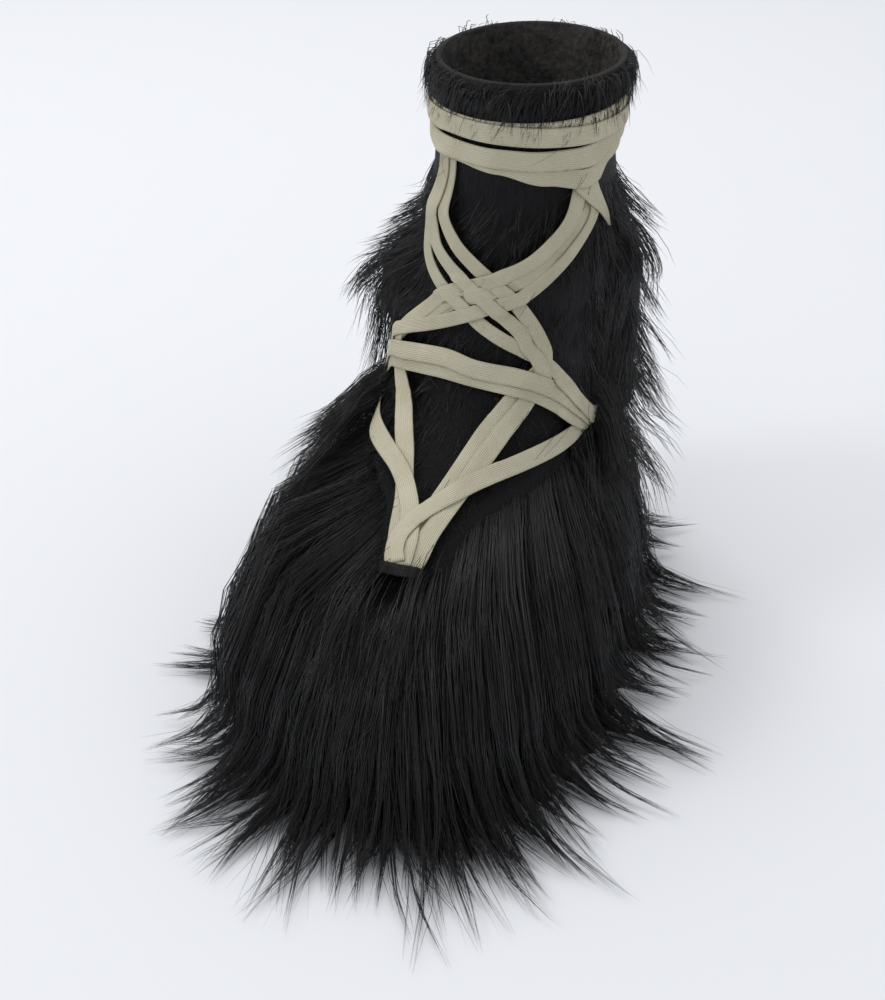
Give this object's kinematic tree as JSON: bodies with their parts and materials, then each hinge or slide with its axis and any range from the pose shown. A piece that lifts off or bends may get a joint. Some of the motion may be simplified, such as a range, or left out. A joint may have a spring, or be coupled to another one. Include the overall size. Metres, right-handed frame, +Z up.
{
  "type": "sheepskin boot",
  "caption": "Ankle-high winter boot in long straight black fur, with a flat woven tape lace crossed over the instep and wrapped round the shaft.",
  "frame": {"origin": "middle of the heel's flat spot, on the floor", "axes": "+Z up, -Y towards the toe, +X towards the outer side of a left boot"},
  "size_m": [0.3127, 0.4666, 0.3252],
  "materials": {
    "rubber": "matt moulded",
    "board": "felted lining",
    "skin": "suede, pile side out",
    "hair": "long straight hair, soft gloss",
    "tape": "flat woven cotton, dry",
    "webbing": "woven webbing"
  },
  "bodies": {
    "root": {"outsole": "rubber", "insole": "board", "upper": "skin", "fur_foot": "hair", "fur_shaft": "hair", "lace": "tape", "lace_wrap": "tape", "loop_toe": "webbing", "loop_outer": "webbing", "loop_inner": "webbing"}
  },
  "joints": []
}
